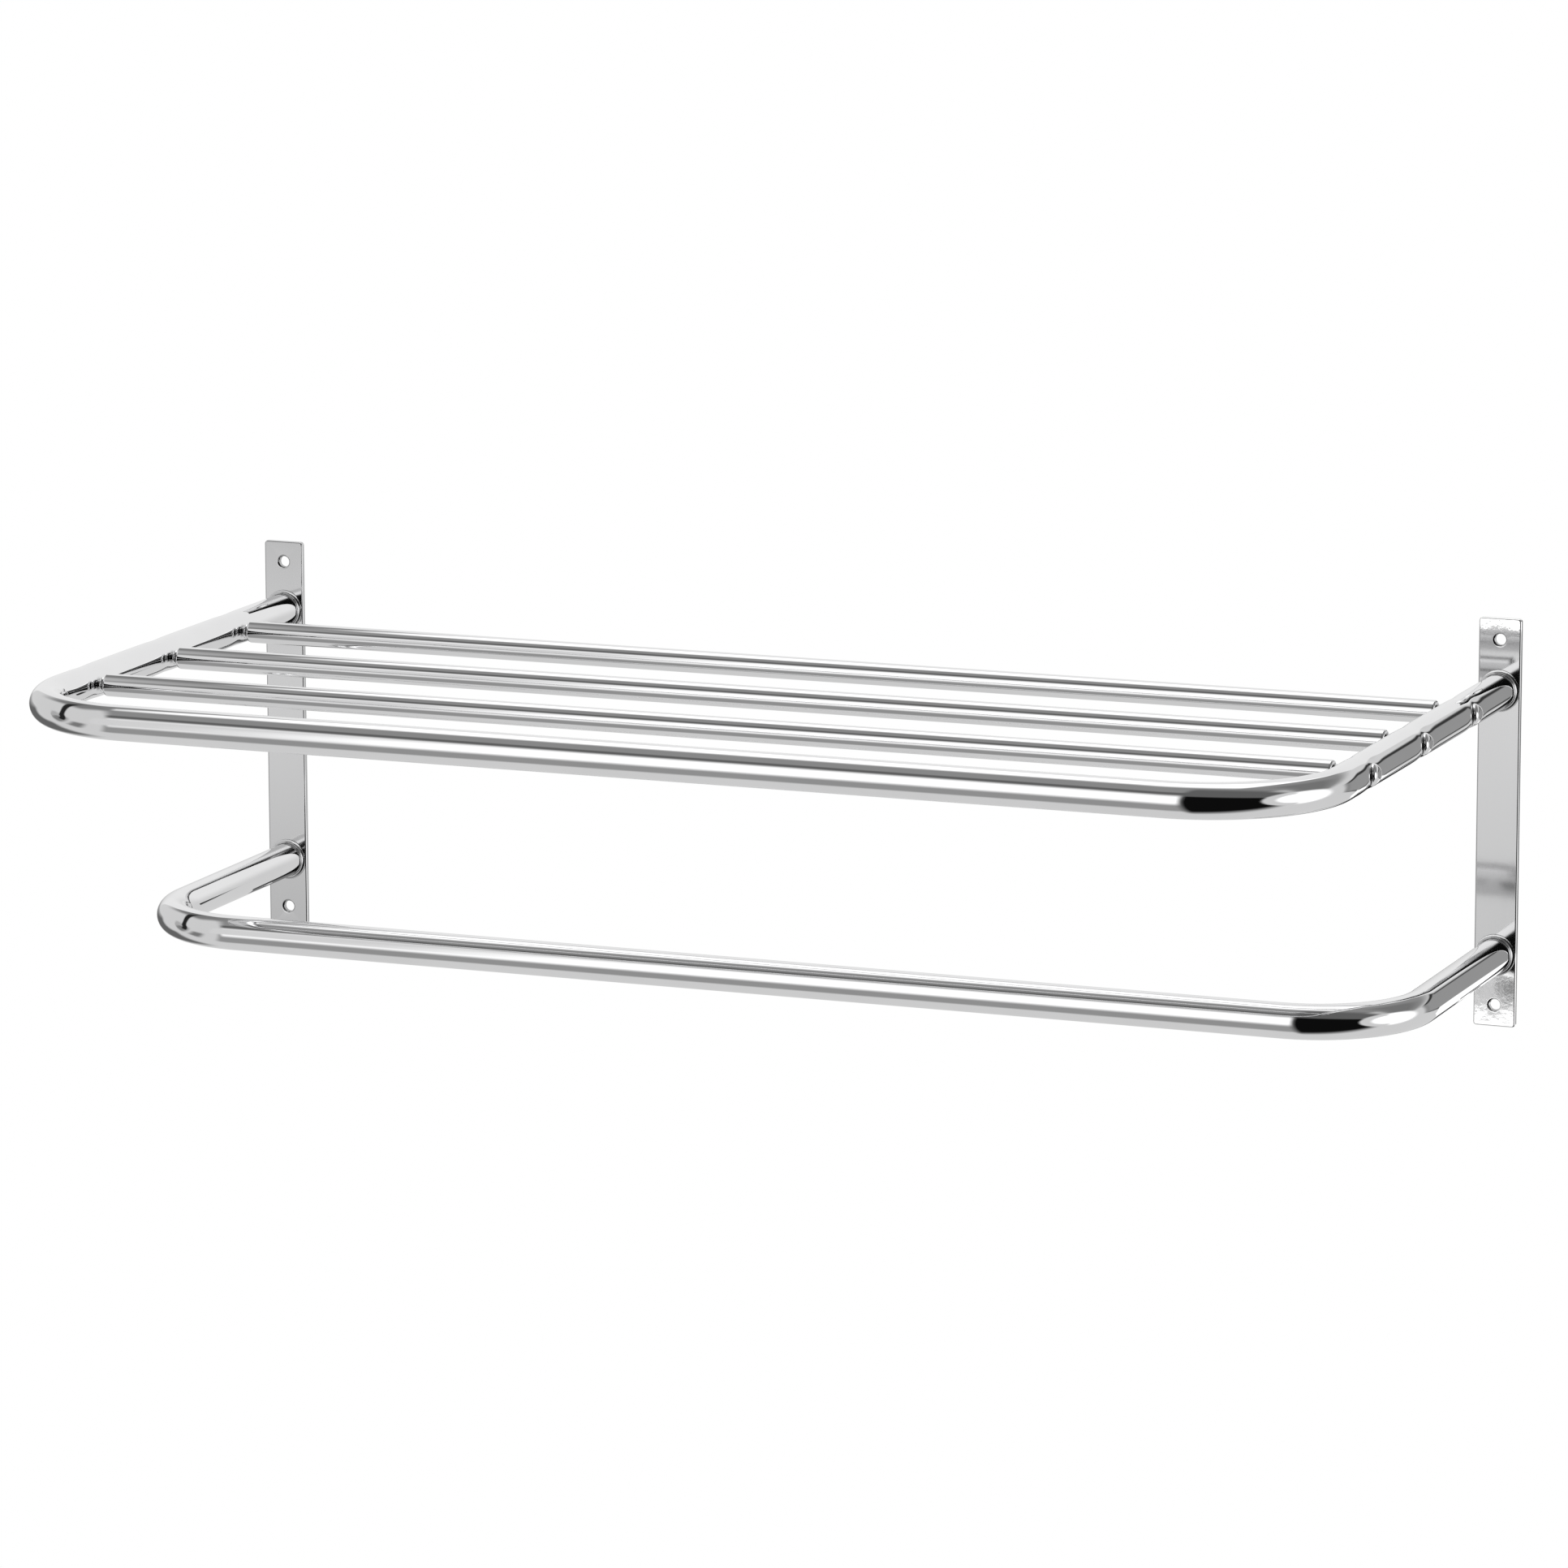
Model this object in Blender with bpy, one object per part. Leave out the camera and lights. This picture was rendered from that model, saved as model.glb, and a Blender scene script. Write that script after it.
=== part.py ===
"""Wall-mounted towel rack: a bent-tube shelf with three cross rods, over a bent-tube towel bar.

Metres, +Z up. The wall is the plane y = 0 and the rack stands out from it towards -Y.
The origin is on the wall, midway between the two wall plates and halfway up them.
"""
from math import atan2, cos, degrees, pi, radians, sin, sqrt

import bmesh
import bpy
from mathutils import Matrix, Vector

# Driving dimensions
ARM_SPACING = 0.610          # between the centrelines of the left and right arms
TUBE_DIAMETER = 0.016
TUBE_WALL = 0.0012
SHELF_DEPTH = 0.300          # wall to the centreline of the shelf's front tube
SHELF_BEND_RADIUS = 0.060    # of the tube's centreline
BAR_DEPTH = 0.167            # wall to the centreline of the towel bar
BAR_BEND_RADIUS = 0.050
TUBE_RISE = 0.0615           # the shelf lies this far above the origin, the bar this far below it

PLATE_WIDTH = 0.020
PLATE_THICKNESS = 0.003
PLATE_HEIGHT = 0.190
PLATE_EDGE_ROUND = 0.0006
SCREW_HOLE_INSET = 0.010     # hole centre to the plate's end
SCREW_HOLE_DIAMETER = 0.0052
COUNTERSINK_DIAMETER = 0.0072
COUNTERSINK_DEPTH = 0.0011

ROD_DIAMETER = 0.0105
ROD_EDGE_ROUND = 0.0012
ROD_DISTANCES = {"rear": 0.064, "middle": 0.140, "front": 0.216}   # wall to each rod's centreline

SPACER_DIAMETER = 0.0072
SPACER_THICKNESS = 0.0024
STUD_DIAMETER = 0.0040
STUD_GRIP = 0.012            # length of the stud inside the rod
STUD_HEAD_DIAMETER = 0.0100
STUD_HEAD_RIM = 0.0005
STUD_HEAD_HEIGHT = 0.0017
STUD_CLEARANCE = 0.0003      # radial, in every hole that the stud passes through

WELD_LEG = 0.0014            # size of the fillet around each tube end
WELD_HOLLOW = 0.82           # radius of the fillet's hollow face, as a share of its leg
GAP = 0.0003                 # between neighbouring solids that touch

TUBE_SEGMENTS = 24           # around a tube
BEND_STEPS = 9               # along a quarter bend
ROUND_SEGMENTS = 20          # around every turned piece
SHARP_ANGLE = 35             # degrees; an edge that turns more than this stays crisp

# Derived dimensions
HALF_SPACING = ARM_SPACING / 2
TUBE_RADIUS = TUBE_DIAMETER / 2
BORE_RADIUS = TUBE_RADIUS - TUBE_WALL
TUBE_START = PLATE_THICKNESS + GAP
STUD_HOLE_RADIUS = STUD_DIAMETER / 2 + STUD_CLEARANCE
SADDLE_RADIUS = TUBE_RADIUS + GAP
ROD_HALF_LENGTH = HALF_SPACING - TUBE_RADIUS - SPACER_THICKNESS - 2 * GAP
STUD_DRILL_LENGTH = 1.5 * TUBE_DIAMETER     # right through an arm, with room on both sides

SIDES = {"left": -1, "right": 1}
LEVELS = {"shelf": TUBE_RISE, "bar": -TUBE_RISE}


def clear_scene():
    for thing in list(bpy.data.objects):
        bpy.data.objects.remove(thing, do_unlink=True)


def metal(name, colour, roughness):
    material = bpy.data.materials.new(name)
    material.use_nodes = True
    shader = material.node_tree.nodes["Principled BSDF"]
    shader.inputs["Base Color"].default_value = (*colour, 1.0)
    shader.inputs["Metallic"].default_value = 1.0
    shader.inputs["Roughness"].default_value = roughness
    return material


def finish_mesh(bm, name):
    """Turn a bmesh into a smooth-shaded mesh whose faces all point outwards."""
    bmesh.ops.recalc_face_normals(bm, faces=bm.faces)
    mesh = bpy.data.meshes.new(name)
    bm.to_mesh(mesh)
    bm.free()
    mesh.shade_smooth()
    mesh.set_sharp_from_angle(angle=radians(SHARP_ANGLE))
    return mesh


def place(name, mesh, material, location=(0, 0, 0), turn_z=0.0, parent=None):
    thing = bpy.data.objects.new(name, mesh)
    bpy.context.collection.objects.link(thing)
    thing.location = location
    thing.rotation_euler = (0, 0, turn_z)
    thing.parent = parent
    if material and not mesh.materials:
        mesh.materials.append(material)
    return thing


def make_cutter(name, mesh):
    cutter = place(name, mesh, None)
    cutter.hide_render = True
    cutter.display_type = "WIRE"
    return cutter


def cut(thing, cutter):
    boolean = thing.modifiers.new("Cut by " + cutter.name, "BOOLEAN")
    boolean.operation = "DIFFERENCE"
    boolean.solver = "EXACT"
    boolean.object = cutter


def arc(centre, radius, start, end, steps):
    """Points (along, radius) of an arc in a turned profile, angles in degrees from the axis."""
    points = []
    for step in range(steps + 1):
        angle = radians(start + (end - start) * step / steps)
        points.append((centre[0] + radius * cos(angle), centre[1] + radius * sin(angle)))
    return points


def turned(bm, profile, closed=False):
    """Spin a profile of (along, radius) points about the X axis into one closed body."""
    verts = [bm.verts.new((along, 0, radius)) for along, radius in profile]
    edges = [bm.edges.new(pair) for pair in zip(verts, verts[1:])]
    if closed:
        edges.append(bm.edges.new((verts[-1], verts[0])))
    bmesh.ops.spin(bm, geom=verts + edges, cent=(0, 0, 0), axis=(1, 0, 0), dvec=(0, 0, 0),
                   angle=2 * pi, steps=ROUND_SEGMENTS, use_merge=True)
    bmesh.ops.remove_doubles(bm, verts=bm.verts, dist=1e-6)


def turned_mesh(name, profile, closed=False):
    bm = bmesh.new()
    turned(bm, profile, closed)
    return finish_mesh(bm, name)


def drape_on_arm(mesh):
    """Let a stud's head, which is all of it beyond x = 0, follow the arm's round wall."""
    for vert in mesh.vertices:
        if vert.co.x > -GAP / 2:
            vert.co.x -= SADDLE_RADIUS - sqrt(SADDLE_RADIUS ** 2 - vert.co.z ** 2)


def only_faces(geometry):
    return [item for item in geometry if isinstance(item, bmesh.types.BMFace)]


def push(bm, faces, offset):
    """Extrude a flat ring of faces along a straight line and return its far end."""
    extruded = bmesh.ops.extrude_face_region(bm, geom=faces)["geom"]
    verts = [item for item in extruded if isinstance(item, bmesh.types.BMVert)]
    bmesh.ops.translate(bm, verts=verts, vec=offset)
    return only_faces(extruded)


def bend(bm, faces, centre):
    """Sweep a ring of faces a quarter turn to the right about a vertical axis."""
    swept = bmesh.ops.spin(bm, geom=faces, cent=centre, axis=(0, 0, 1), dvec=(0, 0, 0),
                           angle=pi / 2, steps=BEND_STEPS)
    return only_faces(swept["geom_last"])


def tube_ring(bm, centre):
    """The tube's end at one plate: a flat ring of faces whose axis is Y."""
    frame = Matrix.Translation(centre) @ Matrix.Rotation(pi / 2, 4, "X")
    edges = []
    for radius in (TUBE_RADIUS, BORE_RADIUS):
        circle = bmesh.ops.create_circle(bm, segments=TUBE_SEGMENTS, radius=radius, matrix=frame)
        edges += list({edge for vert in circle["verts"] for edge in vert.link_edges})
    return bmesh.ops.bridge_loops(bm, edges=edges)["faces"]


def u_tube_mesh(name, depth, bend_radius):
    """A tube from the left plate out to the front, across, and back to the right plate."""
    arm_length = depth - bend_radius - TUBE_START
    front_length = ARM_SPACING - 2 * bend_radius
    bend_y = -(depth - bend_radius)
    bm = bmesh.new()
    start = tube_ring(bm, Vector((-HALF_SPACING, -TUBE_START, 0)))
    left_bend = push(bm, start, (0, -arm_length, 0))
    front = bend(bm, left_bend, (-HALF_SPACING + bend_radius, bend_y, 0))
    right_bend = push(bm, front, (front_length, 0, 0))
    right_arm = bend(bm, right_bend, (HALF_SPACING - bend_radius, bend_y, 0))
    push(bm, right_arm, (0, arm_length, 0))
    inside = left_bend + front + right_bend + right_arm
    bmesh.ops.delete(bm, geom=[face for face in inside if face.is_valid], context="FACES_ONLY")
    return finish_mesh(bm, name)


def stud_hole_mesh():
    """Six drills, one across each arm of the shelf at each rod."""
    bm = bmesh.new()
    for side in SIDES.values():
        for distance in ROD_DISTANCES.values():
            centre = Matrix.Translation((side * HALF_SPACING, -distance, 0))
            bmesh.ops.create_cone(bm, cap_ends=True, segments=ROUND_SEGMENTS,
                                  radius1=STUD_HOLE_RADIUS, radius2=STUD_HOLE_RADIUS,
                                  depth=STUD_DRILL_LENGTH,
                                  matrix=centre @ Matrix.Rotation(pi / 2, 4, "Y"))
    return finish_mesh(bm, "stud_holes")


def screw_hole_mesh():
    """Four countersunk drills, one at each end of each wall plate."""
    slope = (COUNTERSINK_DIAMETER - SCREW_HOLE_DIAMETER) / 2 / COUNTERSINK_DEPTH
    overrun = PLATE_THICKNESS / 2
    profile = [
        (-overrun, 0),
        (-overrun, SCREW_HOLE_DIAMETER / 2),
        (PLATE_THICKNESS - COUNTERSINK_DEPTH, SCREW_HOLE_DIAMETER / 2),
        (PLATE_THICKNESS + overrun, COUNTERSINK_DIAMETER / 2 + overrun * slope),
        (PLATE_THICKNESS + overrun, 0),
    ]
    bm = bmesh.new()
    for side in SIDES.values():
        for end in (-1, 1):
            drill = bmesh.new()
            turned(drill, profile)
            centre = Vector((side * HALF_SPACING, 0, end * (PLATE_HEIGHT / 2 - SCREW_HOLE_INSET)))
            drill.transform(Matrix.Translation(centre) @ Matrix.Rotation(-pi / 2, 4, "Z"))
            piece = bpy.data.meshes.new("drill")
            drill.to_mesh(piece)
            drill.free()
            bm.from_mesh(piece)
            bpy.data.meshes.remove(piece)
    return finish_mesh(bm, "screw_holes")


def wall_plate_mesh():
    bm = bmesh.new()
    bmesh.ops.create_cube(bm, size=1.0, matrix=Matrix.Diagonal(
        (PLATE_WIDTH, PLATE_THICKNESS, PLATE_HEIGHT, 1.0)))
    bmesh.ops.bevel(bm, geom=bm.edges[:], offset=PLATE_EDGE_ROUND, segments=2,
                    profile=0.5, affect="EDGES")
    bmesh.ops.translate(bm, verts=bm.verts, vec=(0, -PLATE_THICKNESS / 2, 0))
    return finish_mesh(bm, "wall_plate")


def weld_ring_mesh():
    """A fillet with a hollow face: it sits on the plate and hugs the tube."""
    inner = TUBE_RADIUS + GAP
    hollow = arc((WELD_LEG, inner + WELD_LEG), WELD_LEG * WELD_HOLLOW, 180, 270, 4)
    profile = [(0, inner), (0, inner + WELD_LEG)] + hollow + [(WELD_LEG, inner)]
    return turned_mesh("weld_ring", profile, closed=True)


def rod_mesh():
    """A round bar with rounded shoulders and a blind hole in each end."""
    end = ROD_HALF_LENGTH
    radius = ROD_DIAMETER / 2
    corner = (end - ROD_EDGE_ROUND, radius - ROD_EDGE_ROUND)
    hole_bottom = end - STUD_GRIP - 2 * GAP
    right_end = arc(corner, ROD_EDGE_ROUND, 90, 0, 4)
    right_end += [(end, STUD_HOLE_RADIUS), (hole_bottom, STUD_HOLE_RADIUS), (hole_bottom, 0)]
    left_end = [(-along, radius) for along, radius in reversed(right_end)]
    return turned_mesh("shelf_rod", left_end + right_end)


def spacer_mesh():
    """The ring between an arm and a rod's end. It reaches from x = 0, at the arm, back to the rod."""
    inner = STUD_HOLE_RADIUS
    outer = SPACER_DIAMETER / 2
    round_face = arc((-SPACER_THICKNESS / 2, outer - SPACER_THICKNESS / 2),
                     SPACER_THICKNESS / 2, 180, 0, 4)
    profile = [(-SPACER_THICKNESS, inner)] + round_face + [(0, inner)]
    return turned_mesh("rod_spacer", profile, closed=True)


def stud_mesh():
    """A domed stud: its head rests on the arm's outer wall and its shank ends inside the rod."""
    shank = STUD_DIAMETER / 2
    head = STUD_HEAD_DIAMETER / 2
    length = TUBE_DIAMETER + SPACER_THICKNESS + 3 * GAP + STUD_GRIP
    dome_height = STUD_HEAD_HEIGHT - STUD_HEAD_RIM
    dome_radius = (head ** 2 + dome_height ** 2) / (2 * dome_height)
    dome_centre = (STUD_HEAD_HEIGHT - dome_radius, 0)
    edge_angle = degrees(atan2(head, STUD_HEAD_RIM - dome_centre[0]))
    profile = [(-length, 0), (-length, shank), (0, shank), (0, (shank + head) / 2), (0, head)]
    profile += arc(dome_centre, dome_radius, edge_angle, 0, 5)
    mesh = turned_mesh("rod_stud", profile)
    drape_on_arm(mesh)
    return mesh


def build():
    clear_scene()
    polished = metal("polished_chrome", (0.80, 0.80, 0.81), 0.05)
    satin = metal("plate_chrome", (0.62, 0.62, 0.63), 0.22)

    rack = bpy.data.objects.new("towel_rack", None)
    bpy.context.collection.objects.link(rack)

    screw_holes = make_cutter("screw_hole_drills", screw_hole_mesh())
    plate_mesh = wall_plate_mesh()
    ring_mesh = weld_ring_mesh()
    for side_name, side in SIDES.items():
        plate_spot = (side * HALF_SPACING, 0, 0)
        plate = place(side_name + "_wall_plate", plate_mesh, satin, plate_spot, parent=rack)
        cut(plate, screw_holes)
        for level_name, height in LEVELS.items():
            spot = (side * HALF_SPACING, -TUBE_START, height)
            place(f"{level_name}_weld_{side_name}", ring_mesh, polished, spot, -pi / 2, rack)

    shelf_mesh = u_tube_mesh("shelf_frame_tube", SHELF_DEPTH, SHELF_BEND_RADIUS)
    shelf = place("shelf_frame_tube", shelf_mesh, polished, (0, 0, LEVELS["shelf"]), parent=rack)
    stud_holes = make_cutter("stud_hole_drills", stud_hole_mesh())
    stud_holes.location.z = LEVELS["shelf"]
    cut(shelf, stud_holes)
    bar_mesh = u_tube_mesh("towel_bar_tube", BAR_DEPTH, BAR_BEND_RADIUS)
    place("towel_bar_tube", bar_mesh, polished, (0, 0, LEVELS["bar"]), parent=rack)

    rod = rod_mesh()
    spacer = spacer_mesh()
    stud = stud_mesh()
    for rod_name, distance in ROD_DISTANCES.items():
        place("shelf_rod_" + rod_name, rod, polished, (0, -distance, LEVELS["shelf"]), parent=rack)
        for side_name, side in SIDES.items():
            outwards = 0 if side > 0 else pi
            stud_spot = (side * (HALF_SPACING + SADDLE_RADIUS), -distance, LEVELS["shelf"])
            place(f"rod_stud_{rod_name}_{side_name}", stud, polished, stud_spot, outwards, rack)
            spacer_spot = (side * (HALF_SPACING - SADDLE_RADIUS), -distance, LEVELS["shelf"])
            place(f"rod_spacer_{rod_name}_{side_name}", spacer, polished, spacer_spot, outwards, rack)


build()
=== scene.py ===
"""The towel rack's looks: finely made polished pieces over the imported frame, in a light tent.

Metres, +Z up, in the frame of the CAD model: the wall is y = 0 and the rack stands out towards -Y.
"""
from math import cos, exp, pi, radians, sin, sqrt

import bmesh
import bpy
from mathutils import Matrix, Vector


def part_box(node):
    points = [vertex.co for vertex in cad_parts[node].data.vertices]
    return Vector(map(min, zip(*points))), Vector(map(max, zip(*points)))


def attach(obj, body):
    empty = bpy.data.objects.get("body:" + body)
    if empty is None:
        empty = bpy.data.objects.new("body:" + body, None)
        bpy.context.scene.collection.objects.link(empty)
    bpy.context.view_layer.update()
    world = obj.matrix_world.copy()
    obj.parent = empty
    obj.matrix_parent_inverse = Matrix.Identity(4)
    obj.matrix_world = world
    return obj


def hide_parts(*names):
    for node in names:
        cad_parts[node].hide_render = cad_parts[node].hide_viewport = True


# ---------------------------------------------------------------- driving numbers

# Camera
CAMERA_PLACE = (1.2704, -3.3147, 0.6876)
CAMERA_AZIMUTH = 21.664       # degrees to the right of straight in front
CAMERA_ELEVATION = 11.017     # degrees above the horizon
CAMERA_ROLL = -0.123          # degrees
CAMERA_SENSOR = 36            # mm wide
CAMERA_LENS = 176.2           # mm

# Bends and tube walls
SHELF_BEND_RADIUS = 0.060
BAR_BEND_RADIUS = 0.050
TUBE_WALL = 0.0012
DIMPLE_DEPTH = 0.00075        # how far an arm's wall is pulled in around a stud
DIMPLE_REACH = 0.0072         # how far from the stud's axis the pull fades
DIMPLE_LIMIT = 0.02           # nothing further along X than this is pulled

# Rods, spacers and studs
ROD_EDGE_ROUND = 0.0012
ROD_BORE_RADIUS = 0.0023
ROD_BORE_DEPTH = 0.0126
STUD_SHANK_RADIUS = 0.0020
STUD_HEAD_RIM = 0.0005        # height of the head's straight edge under the dome
STUD_SEAT_SHARE = 0.5         # how much of the dimple's depth the head sinks into
STUD_DOME_POWER = 0.8         # below 1 makes the dome fuller than a plain quarter circle
STUD_HEAD_STARTS = 0.0002     # the head's foot reaches this far under its seat

# Plates and welds
PLATE_CORNER_ROUND = 0.0016
PLATE_EDGE_ROUND = 0.0008
SCREW_HOLE_INSET = 0.010      # from the plate's end to the hole's centre
SCREW_HOLE_RADIUS = 0.0026
COUNTERSINK_RADIUS = 0.0036
COUNTERSINK_DEPTH = 0.0011
WELD_CLEARANCE = 0.0001       # between a weld ring and its tube
WELD_HOLLOW_POWER = 0.82      # below 1 makes the weld's face more hollow

# How the right plate's cropped ends turn up, which shows only in the shading, with a painted highlight that
# brightens their tint
PLATE_ENDS = (
    # end (-1 is the lower), length, slope at its start, curl per metre, raggedness of its edge
    (-1, 0.036, 0.13, 1.6, 0.0003),
    (1, 0.007, 0.0, 11.0, 0.004),
)
PLATE_END_SOFTNESS = 0.003
# Painted highlight: the tint of the plate's turned ends, brighter than its face
PLATE_END_HIGHLIGHT_TINT = (0.93, 0.93, 0.93)

# Fineness of the meshes
TUBE_SEGMENTS = 96
ROUND_SEGMENTS = 64
BEND_STEPS = 48
ARM_STEPS = 150
PROFILE_STEPS = 16
SHARP_ANGLE = 40

ROD_NAMES = ("rear", "middle", "front")
SIDES = ((-1, "left"), (1, "right"))

# The light tent, as display greys. Directions are told by two angles that suit a rack whose long pieces
# lie along X: "side" is the angle towards +X (from -90 to 90), and "round" is the angle about X, from the
# front (0) over the top (90) to the back (180) or under the floor (-90). Each patch covers those before it.
MIRROR_SHARE = 0.86           # how much of the light a polished surface sends back
TENT_WALL = 201
TENT_PATCHES = (
    # name, side, side softness, round, round softness, grey
    ("far_left", (-400, -76), 8, (-70, 95), 30, 168),
    ("ceiling", (-31, 60), 8, (33, 152), 16, 134),
    ("ceiling_left", (-45, -27), 9, (92, 146), 26, 118),
    ("ceiling_seam", (-31, 4), 6, (41, 57), 9, 92),
    ("ceiling_corner", (22, 60), 14, (100, 140), 20, 112),
    ("left_smudge", (-63, -50), 8, (-62, -20), 20, 118),
    ("left_corner", (-64, -33), 10, (-176, -104), 22, 96),
    ("front_floor", (-34, 13), 7, (-59, 0), 14, 142),
    ("far_left_smudge", (-85, -69), 8, (-74, 8), 30, 122),
    ("front_light", (-31, 13), 5, (-14, 33), 27, 272),
    ("right_light", (63, 400), 14, (-400, 400), 8, 292),
    ("right_wall", (40, 70), 9, (-92, 92), 16, 201),
    ("doorway_shade", (-3, 57), 6, (-72, 84), 22, 92),
    ("doorway", (0, 57), 4, (-60, 36), 10, 12),
)

# A dark seam of the tent at the far left, which leans in towards its top
SEAM_SIDE = (-78.0, -71.0)
SEAM_SIDE_SOFTNESS = 2.5
SEAM_ROUND = (-34, 124)
SEAM_ROUND_SOFTNESS = 14
SEAM_GREY = 35
SEAM_LEAN_START = 25
SEAM_LEAN = 0.0038            # degrees of side per squared degree of round

# Cards near the rack, which only reflections see
CARDS = (
    # name, grey, softness (left, right, along) in half widths, centre, half width, half length
    ("overhead_light", 275, (0.16, 0.16, 0.42), (-0.19, 0.78, 1.36), (0.79, 0, 0), (0, 1.13, 0)),
    ("back_panel", 225, (0.05, 0.05, 0.45), (-0.31, 0.60, 0.54), (0.72, 0, 0), (0, 0, 0.66)),
    ("left_fade", 206, (0.5, 0.5, 0.5), (-1.13, -1.50, 0.32), (0.55, 0, 0), (0, 0, 0.66)),
    ("low_light", 262, (0.2, 0.2, 0.3), (0.40, 0.54, -0.27), (0.125, 0, 0), (0, 0, 0.075)),
    ("low_shade", 40, (0.15, 0.15, 0.15), (0.145, 0.545, -0.24), (0.125, 0, 0), (0, 0, 0.11)),
    ("right_panel_edge", 52, (0.12, 0.9, 0.16), (0.80, 0.56, 0.01), (0.40, 0, 0), (0, 0, 0.27)),
    ("right_panel", 142, (0.06, 0.9, 0.16), (0.80, 0.55, -0.01), (0.355, 0, 0), (0, 0, 0.215)),
)

FLOOR_DROP = 1.8              # from the middle of the rack down to the floor
FLOOR_REACH = 12


# ---------------------------------------------------------------- materials

def grey_value(level):
    """Linear value of a display grey, where 255 is white and more is brighter than white."""
    share = level / 255
    if share <= 0.04045:
        return share / 12.92
    return ((share + 0.055) / 1.055) ** 2.4


def light_for(grey):
    """The light that shows as this grey in the polished metal."""
    return grey_value(grey) / MIRROR_SHARE


class Nodes:
    """A small helper that adds and links the nodes of one shader tree."""

    def __init__(self, tree):
        self.tree = tree
        tree.nodes.clear()

    def add(self, kind, **settings):
        node = self.tree.nodes.new(kind)
        for name, value in settings.items():
            setattr(node, name, value)
        return node

    def feed(self, socket, value):
        """Links an output to the socket, or sets the socket to a plain value."""
        if isinstance(value, bpy.types.NodeSocket):
            self.tree.links.new(value, socket)
        else:
            socket.default_value = value

    def math(self, operation, first, second=0.0, third=None):
        node = self.add("ShaderNodeMath", operation=operation)
        self.feed(node.inputs[0], first)
        self.feed(node.inputs[1], second)
        if third is not None:
            self.feed(node.inputs[2], third)
        return node.outputs[0]

    def square(self, value):
        return self.math("MULTIPLY", value, value)

    def ramp(self, value, start, end, low=0.0, high=1.0):
        """Goes smoothly from low at start to high at end."""
        node = self.add("ShaderNodeMapRange", interpolation_type="SMOOTHSTEP", clamp=True)
        for socket, number in zip(node.inputs[:5], (value, start, end, low, high)):
            self.feed(socket, number)
        return node.outputs[0]

    def window(self, value, low, high, soft):
        """1 between low and high, fading to 0 over soft, centred on each edge."""
        rise = self.ramp(value, low - soft / 2, low + soft / 2, 0.0, 1.0)
        fall = self.ramp(value, high - soft / 2, high + soft / 2, 1.0, 0.0)
        return self.math("MULTIPLY", rise, fall)

    def noise(self, vector, scale, detail, roughness):
        node = self.add("ShaderNodeTexNoise")
        self.feed(node.inputs["Vector"], vector)
        self.feed(node.inputs["Scale"], scale)
        self.feed(node.inputs["Detail"], detail)
        self.feed(node.inputs["Roughness"], roughness)
        return node.outputs[0]

    def parts_of(self, vector):
        node = self.add("ShaderNodeSeparateXYZ")
        self.feed(node.inputs[0], vector)
        return node.outputs

    def mixed_colour(self, share, first, second, blend_type="MIX"):
        node = self.add("ShaderNodeMix", data_type="RGBA", blend_type=blend_type)
        self.feed(node.inputs["Factor"], share)
        self.feed(node.inputs["A"], first)
        self.feed(node.inputs["B"], second)
        return node.outputs["Result"]

    def mixed_shader(self, share, first, second):
        node = self.add("ShaderNodeMixShader")
        for socket, source in zip(node.inputs, (share, first, second)):
            self.feed(socket, source)
        return node.outputs[0]


def opaque(tint):
    return (*tint, 1.0)


def new_material(name):
    material = bpy.data.materials.new(name)
    material.use_nodes = True
    return material, Nodes(material.node_tree)


def end_highlight_tint(nodes, height, half_height, tint):
    """The plate's tint, brighter at its turned ends as a painted highlight."""
    end_highlight_share = 0.0
    for end, length, slope, curl, raggedness in PLATE_ENDS:
        start = half_height - length
        outward = nodes.math("MULTIPLY", height, float(end))
        end_highlight_share = nodes.math("MAXIMUM", nodes.ramp(outward, start, start + PLATE_END_SOFTNESS), end_highlight_share)
    return nodes.mixed_colour(end_highlight_share, opaque(tint), opaque(PLATE_END_HIGHLIGHT_TINT))


def end_relief(nodes, place, height, half_height, relief):
    """Adds to the relief what turns the plate's ends up."""
    edge_noise = nodes.noise(place, 160.0, 3.0, 0.6)
    for end, length, slope, curl, raggedness in PLATE_ENDS:
        start = nodes.math("SUBTRACT", nodes.math("MULTIPLY", edge_noise, raggedness), half_height - length)
        past = nodes.math("MAXIMUM", nodes.math("MULTIPLY_ADD", height, float(end), start), 0.0)
        bent = nodes.math("MULTIPLY", nodes.square(past), -end * curl / 2)
        relief = nodes.math("ADD", relief, nodes.math("MULTIPLY_ADD", past, -end * slope, bent))
    return relief


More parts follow.
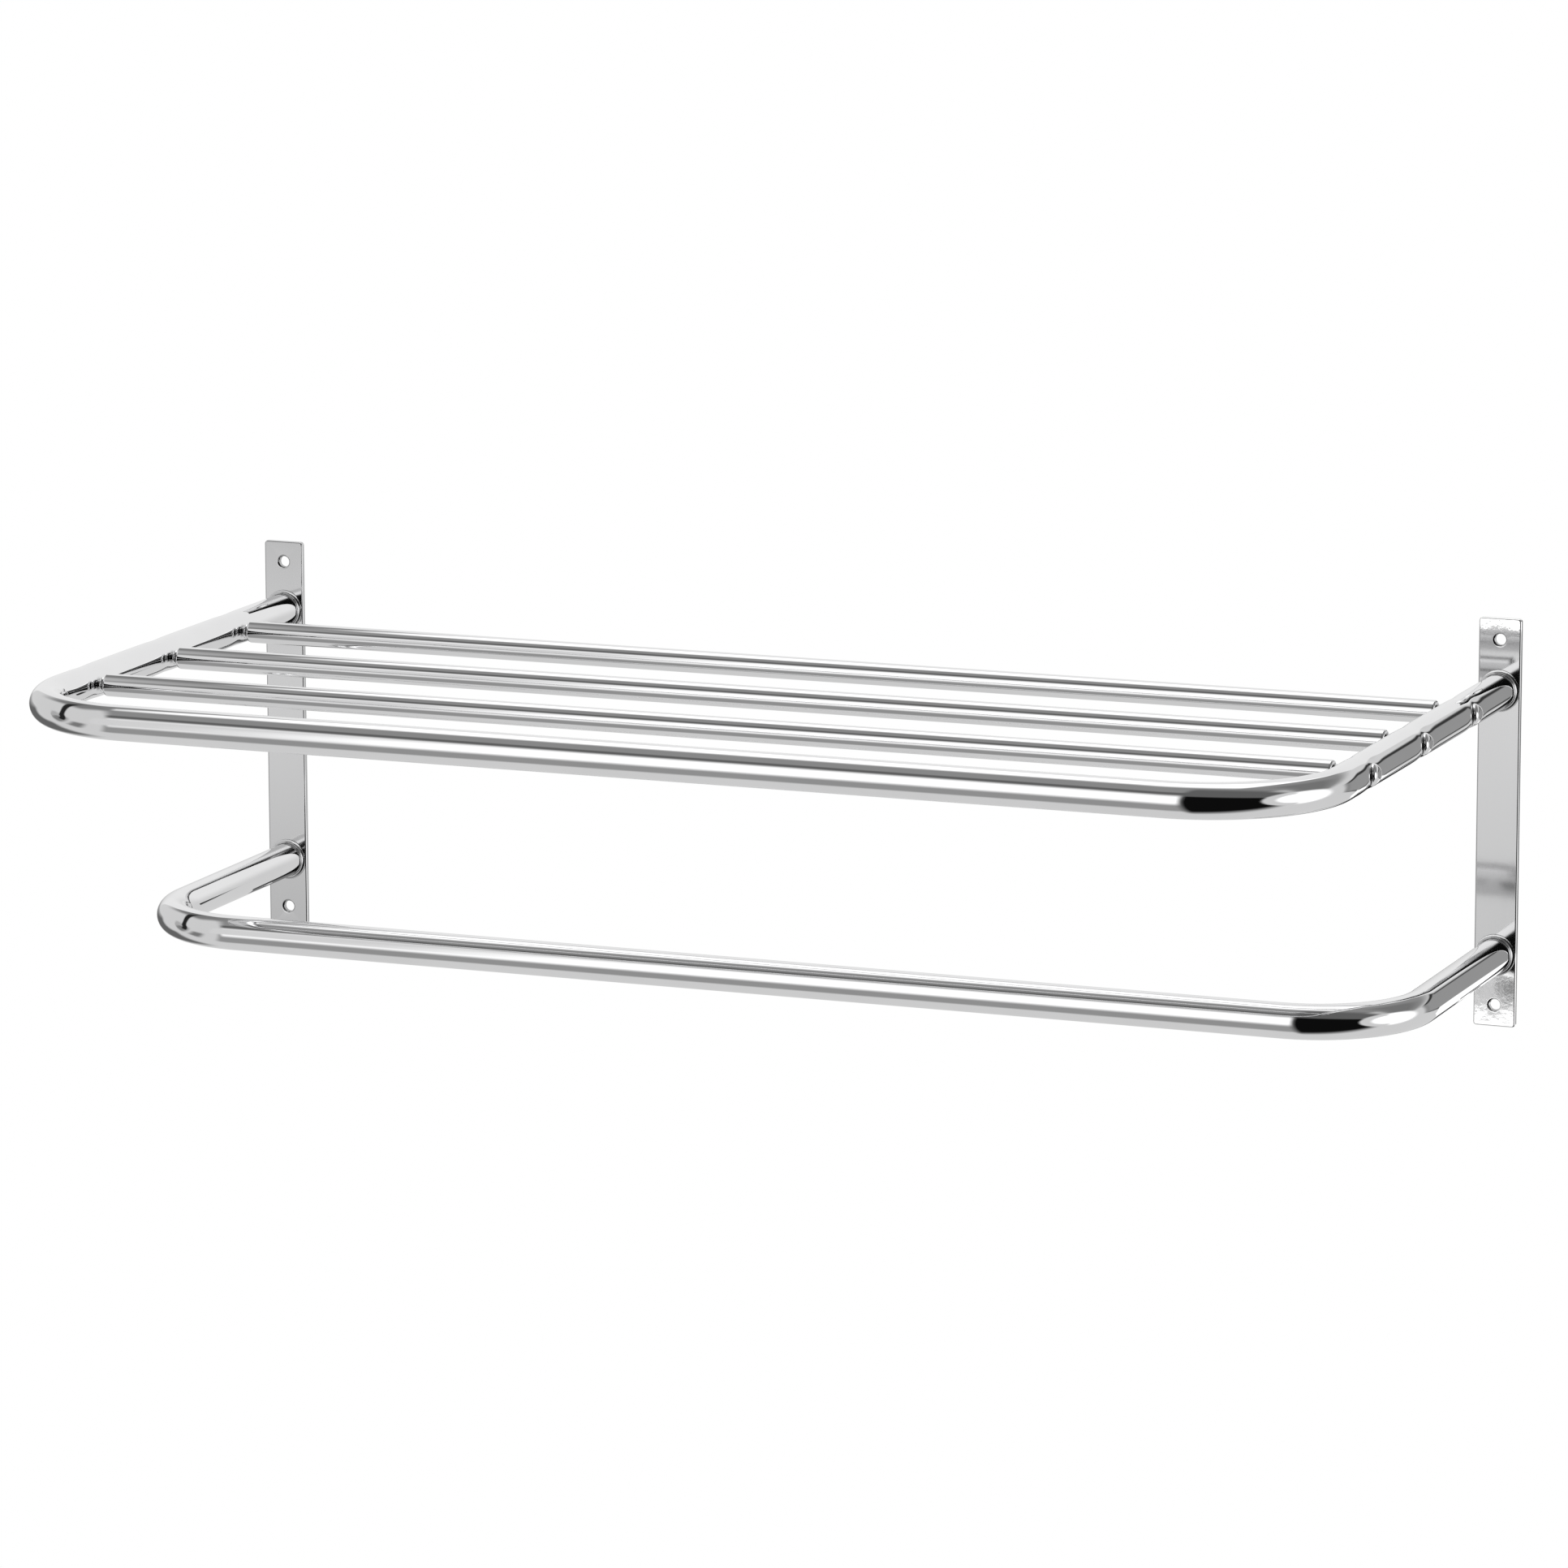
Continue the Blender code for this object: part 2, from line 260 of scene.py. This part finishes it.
def polished_metal(name, tint, roughness, haze, wave_height, wave_scale, stretch=(1, 1, 1),
                   crevice_shade_reach=0.0025, bow=0.0, turned_half_height=None):
    """Chrome: a clear mirror with faint haze, wipe marks, painted shade in its crevices and a slow
    waviness.

    A plate's face also bows, by a change of slope per metre of height. Where turned_half_height, half the
    plate's height, is given, its ends turn up, and a painted highlight makes them brighter.
    """
    material, nodes = new_material(name)
    place = nodes.add("ShaderNodeTexCoord").outputs["Object"]
    height = nodes.parts_of(place)[2]
    scaling = nodes.add("ShaderNodeMapping")
    nodes.feed(scaling.inputs["Vector"], place)
    scaling.inputs["Scale"].default_value = stretch
    scaled = scaling.outputs[0]

    smudge = nodes.noise(scaled, 22.0, 4.0, 0.6)
    grain = nodes.noise(scaled, 900.0, 2.0, 0.5)
    hazed = nodes.ramp(smudge, 0.45, 0.75, roughness, roughness + haze)
    final_roughness = nodes.math("MULTIPLY_ADD", grain, haze * 0.25, hazed)

    clean = opaque(tint)
    # Painted highlight: the turned ends get a brighter tint
    if turned_half_height:
        clean = end_highlight_tint(nodes, height, turned_half_height, tint)
    wiped = nodes.mixed_colour(nodes.ramp(smudge, 0.3, 0.8, 1.0, 0.965), (0.0, 0.0, 0.0, 1.0), clean)
    # Painted shade: ambient occlusion darkens the base colour in crevices and at joints
    hollow = nodes.add("ShaderNodeAmbientOcclusion", samples=8)
    hollow.inputs["Distance"].default_value = crevice_shade_reach
    painted_crevice_shade = nodes.ramp(hollow.outputs["AO"], 0.25, 0.80, 0.10, 1.0)
    shaded = nodes.mixed_colour(1.0, wiped, painted_crevice_shade, blend_type="MULTIPLY")

    relief = nodes.math("MULTIPLY", nodes.noise(scaled, wave_scale, 2.0, 0.5), wave_height)
    if bow:
        relief = nodes.math("MULTIPLY_ADD", nodes.square(height), -bow / 2, relief)
    if turned_half_height:
        relief = end_relief(nodes, place, height, turned_half_height, relief)
    bump = nodes.add("ShaderNodeBump")
    bump.inputs["Distance"].default_value = 1.0
    bump.inputs["Strength"].default_value = 1.0
    nodes.feed(bump.inputs["Height"], relief)

    shader = nodes.add("ShaderNodeBsdfPrincipled")
    shader.inputs["Metallic"].default_value = 1.0
    nodes.feed(shader.inputs["Base Color"], shaded)
    nodes.feed(shader.inputs["Roughness"], final_roughness)
    nodes.feed(shader.inputs["Normal"], bump.outputs[0])
    nodes.feed(nodes.add("ShaderNodeOutputMaterial").inputs[0], shader.outputs[0])
    return material


def pale_floor_material():
    """The floor is lit evenly all over, so it shows as plain near-white."""
    material, nodes = new_material("pale_floor")
    glow = nodes.add("ShaderNodeEmission")
    glow.inputs["Color"].default_value = (1.0, 1.0, 1.0, 1.0)
    nodes.feed(nodes.add("ShaderNodeOutputMaterial").inputs[0], glow.outputs[0])
    return material


def soft_glow_material(name, grey, softness):
    """Even light that fades out towards the card's edges. Softness is a share of the half width."""
    soft_left, soft_right, soft_along = softness
    material, nodes = new_material(name)
    x, y, z = nodes.parts_of(nodes.add("ShaderNodeTexCoord").outputs["Object"])
    left = nodes.ramp(x, -1, -1 + soft_left)
    right = nodes.ramp(x, 1 - soft_right, 1, 1.0, 0.0)
    along = nodes.window(y, -1 + soft_along / 2, 1 - soft_along / 2, soft_along)
    share = nodes.math("MULTIPLY", nodes.math("MULTIPLY", left, right), along)
    glow = nodes.add("ShaderNodeEmission")
    glow.inputs["Strength"].default_value = light_for(grey)
    clear = nodes.add("ShaderNodeBsdfTransparent")
    mixed = nodes.mixed_shader(share, clear.outputs[0], glow.outputs[0])
    nodes.feed(nodes.add("ShaderNodeOutputMaterial").inputs[0], mixed)
    return material


# ---------------------------------------------------------------- studio

def paint_over(nodes, level, share, grey):
    """Lays a grey over the light so far, as strongly as share says."""
    kept = nodes.math("MULTIPLY", level, nodes.math("SUBTRACT", 1.0, share))
    return nodes.math("MULTIPLY_ADD", share, light_for(grey), kept)


def tent_light(nodes):
    """The strength of the tent's light in every direction."""
    x, y, z = nodes.parts_of(nodes.add("ShaderNodeTexCoord").outputs["Generated"])
    side = nodes.math("DEGREES", nodes.math("ARCSINE", x))
    turn = nodes.math("DEGREES", nodes.math("ARCTAN2", z, nodes.math("MULTIPLY", y, -1.0)))

    level = light_for(TENT_WALL)
    for name, sides, side_soft, turns, turn_soft, grey in TENT_PATCHES:
        share = nodes.math("MULTIPLY", nodes.window(side, *sides, side_soft),
                           nodes.window(turn, *turns, turn_soft))
        level = paint_over(nodes, level, share, grey)

    above = nodes.math("MAXIMUM", nodes.math("SUBTRACT", turn, SEAM_LEAN_START), 0.0)
    lean = nodes.math("MULTIPLY", nodes.square(above), SEAM_LEAN)
    seam_side = nodes.window(nodes.math("SUBTRACT", side, lean), *SEAM_SIDE, SEAM_SIDE_SOFTNESS)
    seam_turn = nodes.window(turn, *SEAM_ROUND, SEAM_ROUND_SOFTNESS)
    return paint_over(nodes, level, nodes.math("MULTIPLY", seam_side, seam_turn), SEAM_GREY)


def build_tent():
    """Lights the rack from all round. The camera itself sees plain white behind the rack."""
    world = bpy.data.worlds.new("light_tent")
    world.use_nodes = True
    nodes = Nodes(world.node_tree)
    backdrop = nodes.add("ShaderNodeBackground")
    backdrop.inputs["Color"].default_value = (1.0, 1.0, 1.0, 1.0)
    tent = nodes.add("ShaderNodeBackground")
    tent.inputs["Color"].default_value = (1.0, 1.0, 1.0, 1.0)
    nodes.feed(tent.inputs["Strength"], tent_light(nodes))
    seen = nodes.add("ShaderNodeLightPath").outputs["Is Camera Ray"]
    mixed = nodes.mixed_shader(seen, tent.outputs[0], backdrop.outputs[0])
    nodes.feed(nodes.add("ShaderNodeOutputWorld").inputs[0], mixed)
    bpy.context.scene.world = world


def stage_card(name, material, seen_by_camera, centre, across, along):
    """A flat card, either only seen or only mirrored. Its own x and y run from -1 to 1."""
    mesh = bpy.data.meshes.new(name)
    mesh.from_pydata([(-1, -1, 0), (1, -1, 0), (1, 1, 0), (-1, 1, 0)], [], [(0, 1, 2, 3)])
    mesh.materials.append(material)
    card = bpy.data.objects.new(name, mesh)
    bpy.context.collection.objects.link(card)
    across, along = Vector(across), Vector(along)
    upright = across.cross(along).normalized()
    turn = Matrix((across, along, upright)).transposed().to_4x4()
    card.matrix_world = Matrix.Translation(centre) @ turn
    card.visible_camera = seen_by_camera
    card.visible_glossy = not seen_by_camera
    card.visible_diffuse = False
    card.visible_shadow = False


def build_studio():
    bpy.context.scene.view_settings.view_transform = "Standard"
    build_tent()
    stage_card("floor", pale_floor_material(), True, (0, 0, -FLOOR_DROP),
               (FLOOR_REACH, 0, 0), (0, FLOOR_REACH, 0))
    for name, grey, softness, centre, across, along in CARDS:
        stage_card(name, soft_glow_material(name, grey, softness), False, centre, across, along)


def build_camera():
    azimuth = radians(CAMERA_AZIMUTH)
    elevation = radians(CAMERA_ELEVATION)
    back = Vector((sin(azimuth) * cos(elevation), -cos(azimuth) * cos(elevation), sin(elevation)))
    look = (-back).to_track_quat("-Z", "Y").to_matrix() @ Matrix.Rotation(radians(CAMERA_ROLL), 3, "Z")
    data = bpy.data.cameras.new("camera")
    data.sensor_width = CAMERA_SENSOR
    data.lens = CAMERA_LENS
    camera = bpy.data.objects.new("camera", data)
    camera.location = CAMERA_PLACE
    camera.rotation_euler = look.to_euler()
    bpy.context.collection.objects.link(camera)
    bpy.context.scene.camera = camera


# ---------------------------------------------------------------- shapes

def centre_of(node):
    low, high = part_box(node)
    return (Vector(low) + Vector(high)) / 2


def size_of(node):
    low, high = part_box(node)
    return Vector(high) - Vector(low)


def finish_mesh(bm, name):
    bmesh.ops.recalc_face_normals(bm, faces=bm.faces)
    mesh = bpy.data.meshes.new(name)
    bm.to_mesh(mesh)
    bm.free()
    mesh.shade_smooth()
    mesh.set_sharp_from_angle(angle=radians(SHARP_ANGLE))
    return mesh


def stand_in(node, mesh, material):
    """Shows mesh in place of a CAD node. The mesh is already in the row's frame."""
    piece = bpy.data.objects.new(node + "_fine", mesh)
    bpy.context.collection.objects.link(piece)
    mesh.materials.append(material)
    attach(piece, "root")
    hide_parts(node)
    return piece


def quarter_turns():
    """Angles from 0 to 90 degrees, for the round part of a profile."""
    return [pi / 2 * step / PROFILE_STEPS for step in range(PROFILE_STEPS + 1)]


def arc(centre, radius, start, end, steps):
    points = []
    for step in range(steps + 1):
        angle = radians(start + (end - start) * step / steps)
        points.append((centre[0] + radius * cos(angle), centre[1] + radius * sin(angle)))
    return points


def turned_mesh(name, profile, matrix, closed=False):
    """Spins a profile of (along, radius) points about the X axis, then places it."""
    bm = bmesh.new()
    verts = [bm.verts.new((along, 0, radius)) for along, radius in profile]
    edges = [bm.edges.new(pair) for pair in zip(verts, verts[1:])]
    if closed:
        edges.append(bm.edges.new((verts[-1], verts[0])))
    bmesh.ops.spin(bm, geom=verts + edges, cent=(0, 0, 0), axis=(1, 0, 0), dvec=(0, 0, 0),
                   angle=2 * pi, steps=ROUND_SEGMENTS, use_merge=True)
    bmesh.ops.remove_doubles(bm, verts=bm.verts, dist=1e-7)
    bm.transform(matrix)
    return finish_mesh(bm, name)


def outward_matrix(spot, side):
    """Places a turned piece whose +X end points away from the rack's middle."""
    turn = 0 if side > 0 else pi
    return Matrix.Translation(spot) @ Matrix.Rotation(turn, 4, "Z")


def from_wall_matrix(spot):
    """Places a turned piece whose +X end points straight out of the wall."""
    return Matrix.Translation(spot) @ Matrix.Rotation(-pi / 2, 4, "Z")


# ---------------------------------------------------------------- tubes

def u_path(half_spacing, depth, bend_radius, start):
    """Stations (x, y, heading) along a U from the left plate round to the right one."""
    stations = []
    bend_y = -(depth - bend_radius)
    for step in range(ARM_STEPS):
        stations.append((-half_spacing, -start + (bend_y + start) * step / ARM_STEPS, -pi / 2))
    for step in range(BEND_STEPS + 1):
        turn = pi / 2 * step / BEND_STEPS
        x = -half_spacing + bend_radius * (1 - cos(turn))
        stations.append((x, bend_y - bend_radius * sin(turn), turn - pi / 2))
    mirrored = [(-x, y, -heading) for x, y, heading in reversed(stations)]
    return stations + mirrored


def dimple(point, studs, axis_z):
    """How far the wall is pulled in at a point: each stud draws a shallow dish on both sides of its arm."""
    depth = 0.0
    for stud_x, stud_y in studs:
        if abs(point.x - stud_x) < DIMPLE_LIMIT:
            away = sqrt((point.y - stud_y) ** 2 + (point.z - axis_z) ** 2)
            depth += DIMPLE_DEPTH * exp(-((away / DIMPLE_REACH) ** 2))
    return depth


def tube_ring(bm, station, radius, height, studs):
    """One ring of points round the tube at a station of its path."""
    x, y, heading = station
    side = Vector((-sin(heading), cos(heading), 0))
    ring = []
    for segment in range(TUBE_SEGMENTS):
        angle = 2 * pi * segment / TUBE_SEGMENTS
        out = side * cos(angle) + Vector((0, 0, sin(angle)))
        point = Vector((x, y, height)) + out * radius
        point -= out * dimple(point, studs, height)
        ring.append(bm.verts.new(point))
    return ring


def bridge_rings(bm, first, second):
    for segment in range(TUBE_SEGMENTS):
        after = (segment + 1) % TUBE_SEGMENTS
        bm.faces.new((first[segment], first[after], second[after], second[segment]))


def tube_mesh(name, path, radius, height, studs):
    """A hollow tube swept along the path, its wall closed at both ends."""
    bm = bmesh.new()
    shells = []
    for shell_radius in (radius, radius - TUBE_WALL):
        rings = [tube_ring(bm, station, shell_radius, height, studs) for station in path]
        for ring, following in zip(rings, rings[1:]):
            bridge_rings(bm, ring, following)
        shells.append(rings)
    outer, inner = shells
    for end in (0, -1):
        bridge_rings(bm, outer[end], inner[end])
    return finish_mesh(bm, name)


def build_tube(node, bend_radius, material, studs=()):
    low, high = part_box(node)
    radius = (high[2] - low[2]) / 2
    half_spacing = (high[0] - low[0]) / 2 - radius
    depth = -low[1] - radius
    path = u_path(half_spacing, depth, bend_radius, -high[1])
    mesh = tube_mesh(node + "_fine", path, radius, centre_of(node).z, studs)
    stand_in(node, mesh, material)


# ---------------------------------------------------------------- rods and their fittings

def build_rod(node, material):
    """A round bar with softened ends and a bore in each."""
    size = size_of(node)
    end = size.x / 2
    corner = (end - ROD_EDGE_ROUND, size.z / 2 - ROD_EDGE_ROUND)
    bore_end = end - ROD_BORE_DEPTH
    right_end = arc(corner, ROD_EDGE_ROUND, 90, 0, 8)
    right_end += [(end, ROD_BORE_RADIUS), (bore_end, ROD_BORE_RADIUS), (bore_end, 0)]
    left_end = [(-along, out) for along, out in reversed(right_end)]
    mesh = turned_mesh(node + "_fine", left_end + right_end, Matrix.Translation(centre_of(node)))
    stand_in(node, mesh, material)


def build_spacer(node, side, material):
    """A ring with a round outer side."""
    size = size_of(node)
    half = size.x / 2
    profile = [(-half, ROD_BORE_RADIUS)]
    profile += arc((0, size.z / 2 - half), half, 180, 0, 14)
    profile += [(half, ROD_BORE_RADIUS)]
    mesh = turned_mesh(node + "_fine", profile, outward_matrix(centre_of(node), side), closed=True)
    stand_in(node, mesh, material)


def stud_profile(inner_end, head_radius, dome):
    """A shank from inner_end to the seat at 0, then a foot, a short rim and a dome."""
    shank = [(inner_end, 0), (inner_end, STUD_SHANK_RADIUS), (0, STUD_SHANK_RADIUS)]
    foot = [(0, head_radius * 0.6), (0, head_radius * 0.97), (STUD_HEAD_RIM * 0.5, head_radius)]
    crown = [(STUD_HEAD_RIM + dome * sin(turn) ** STUD_DOME_POWER, head_radius * cos(turn))
             for turn in quarter_turns()]
    return shank + foot + crown


def build_stud(node, side, arm_x, tube_radius, material):
    """A domed head whose seat follows the dished wall of the arm, on a plain shank."""
    low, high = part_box(node)
    centre = centre_of(node)
    seat = abs(arm_x) + tube_radius - DIMPLE_DEPTH * STUD_SEAT_SHARE
    tip = max(abs(low[0]), abs(high[0]))
    inner_end = min(abs(low[0]), abs(high[0]))
    profile = stud_profile(inner_end - seat, size_of(node).z / 2, tip - seat - STUD_HEAD_RIM)
    spot = Vector((side * seat, centre.y, centre.z))
    mesh = turned_mesh(node + "_fine", profile, outward_matrix(spot, side))
    for vert in mesh.vertices:
        out = abs(vert.co.x) - seat
        if out > -STUD_HEAD_STARTS:
            drop = tube_radius - sqrt(tube_radius ** 2 - (vert.co.z - centre.z) ** 2)
            vert.co.x -= side * min(drop, max(0.0, out + drop))
    stand_in(node, mesh, material)


# ---------------------------------------------------------------- plates and welds

def build_weld(node, tube_radius, material):
    """A hollow fillet round the tube, with its foot on the plate."""
    low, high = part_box(node)
    leg = high[1] - low[1]
    inner = tube_radius + WELD_CLEARANCE
    foot = (high[0] - low[0]) / 2 - inner
    profile = [(0, inner)]
    profile += [(leg * (1 - sin(turn) ** WELD_HOLLOW_POWER), inner + foot * (1 - cos(turn)))
                for turn in quarter_turns()]
    centre = centre_of(node)
    matrix = from_wall_matrix((centre.x, high[1], centre.z))
    stand_in(node, turned_mesh(node + "_fine", profile, matrix, closed=True), material)


def screw_drill(node, spot, thickness):
    """The shape of a countersunk hole, a little longer than the plate is thick."""
    slope = (COUNTERSINK_RADIUS - SCREW_HOLE_RADIUS) / COUNTERSINK_DEPTH
    over = thickness / 2
    profile = [(-over, 0), (-over, SCREW_HOLE_RADIUS), (thickness - COUNTERSINK_DEPTH, SCREW_HOLE_RADIUS),
               (thickness + over, COUNTERSINK_RADIUS + over * slope), (thickness + over, 0)]
    mesh = turned_mesh(node + "_drill", profile, from_wall_matrix(spot))
    drill = bpy.data.objects.new(node + "_drill", mesh)
    bpy.context.collection.objects.link(drill)
    return drill


def bake_modifiers(piece):
    """Replaces a piece's mesh with the result of its modifiers, with flat faces kept truly flat."""
    weighted = piece.modifiers.new("flat_faces", "WEIGHTED_NORMAL")
    weighted.keep_sharp = True
    bpy.context.view_layer.update()
    made = piece.evaluated_get(bpy.context.evaluated_depsgraph_get())
    mesh = bpy.data.meshes.new_from_object(made)
    mesh.name = piece.name
    piece.modifiers.clear()
    piece.data = mesh


def plate_blank(node):
    """A flat bar with rounded corners and softened edges."""
    size = size_of(node)
    matrix = Matrix.Translation(centre_of(node)) @ Matrix.Diagonal((*size, 1.0))
    bm = bmesh.new()
    bmesh.ops.create_cube(bm, size=1.0, matrix=matrix)
    corners = [edge for edge in bm.edges if abs(edge.verts[0].co.y - edge.verts[1].co.y) > size.y / 2]
    bmesh.ops.bevel(bm, geom=corners, offset=PLATE_CORNER_ROUND, segments=6, profile=0.5, affect="EDGES")
    rims = [edge for edge in bm.edges if edge.calc_face_angle() > radians(60)]
    bmesh.ops.bevel(bm, geom=rims, offset=PLATE_EDGE_ROUND, segments=5, profile=0.5, affect="EDGES")
    return finish_mesh(bm, node + "_fine")


def build_plate(node, material):
    """The bar, with a countersunk hole near each end."""
    piece = stand_in(node, plate_blank(node), material)
    size = size_of(node)
    centre = centre_of(node)
    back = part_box(node)[1][1]
    drills = []
    for end in (-1, 1):
        spot = Vector((centre.x, back, centre.z + end * (size.z / 2 - SCREW_HOLE_INSET)))
        drills.append(screw_drill(node, spot, size.y))
    for drill in drills:
        hole = piece.modifiers.new("screw_hole", "BOOLEAN")
        hole.operation = "DIFFERENCE"
        hole.solver = "EXACT"
        hole.object = drill
    bake_modifiers(piece)
    for drill in drills:
        bpy.data.objects.remove(drill, do_unlink=True)


# ---------------------------------------------------------------- the rack

def plate_chrome(side_name, bow, turned_half_height=None):
    """Duller and darker than the tubes, with its marks drawn out along the height."""
    return polished_metal(side_name + "_plate_chrome", (0.62, 0.62, 0.624), roughness=0.07, haze=0.05,
                          wave_height=0.00005, wave_scale=30.0, stretch=(1, 1, 0.12), bow=bow,
                          turned_half_height=turned_half_height)


def build_rack():
    tube_chrome = polished_metal("tube_chrome", (0.88, 0.88, 0.885), roughness=0.025, haze=0.02,
                                 wave_height=0.00004, wave_scale=9.0)
    rod_chrome = polished_metal("rod_chrome", (0.87, 0.87, 0.875), roughness=0.035, haze=0.02,
                                wave_height=0.00003, wave_scale=16.0, stretch=(0.25, 1, 1))
    fitting_chrome = polished_metal("fitting_chrome", (0.88, 0.88, 0.885), roughness=0.03, haze=0.02,
                                    wave_height=0.00003, wave_scale=120.0)
    weld_chrome = polished_metal("weld_chrome", (0.66, 0.66, 0.665), roughness=0.16, haze=0.06,
                                 wave_height=0.0001, wave_scale=260.0, crevice_shade_reach=0.003)
    plate_chromes = {
        "left": plate_chrome("left", 0.22),
        "right": plate_chrome("right", 0.05, size_of("right_wall_plate").z / 2),
    }

    tube_radius = size_of("shelf_frame_tube").z / 2
    arm_places = {side_name: centre_of(side_name + "_wall_plate").x for side, side_name in SIDES}
    studs = [(arm_x, centre_of("shelf_rod_" + rod_name).y)
             for arm_x in arm_places.values() for rod_name in ROD_NAMES]
    build_tube("shelf_frame_tube", SHELF_BEND_RADIUS, tube_chrome, studs)
    build_tube("towel_bar_tube", BAR_BEND_RADIUS, tube_chrome)
    for rod_name in ROD_NAMES:
        build_rod("shelf_rod_" + rod_name, rod_chrome)
    for side, side_name in SIDES:
        build_plate(side_name + "_wall_plate", plate_chromes[side_name])
        for level_name in ("shelf", "bar"):
            build_weld(f"{level_name}_weld_{side_name}", tube_radius, weld_chrome)
        for rod_name in ROD_NAMES:
            build_spacer(f"rod_spacer_{rod_name}_{side_name}", side, fitting_chrome)
            build_stud(f"rod_stud_{rod_name}_{side_name}", side, arm_places[side_name], tube_radius,
                       fitting_chrome)


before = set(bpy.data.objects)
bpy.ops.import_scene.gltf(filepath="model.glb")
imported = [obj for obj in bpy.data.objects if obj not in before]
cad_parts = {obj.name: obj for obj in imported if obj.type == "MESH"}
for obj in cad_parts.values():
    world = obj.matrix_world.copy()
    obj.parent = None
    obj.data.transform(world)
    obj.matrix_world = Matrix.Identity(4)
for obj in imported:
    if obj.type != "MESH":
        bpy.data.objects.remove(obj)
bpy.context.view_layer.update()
build_studio()
build_camera()
build_rack()
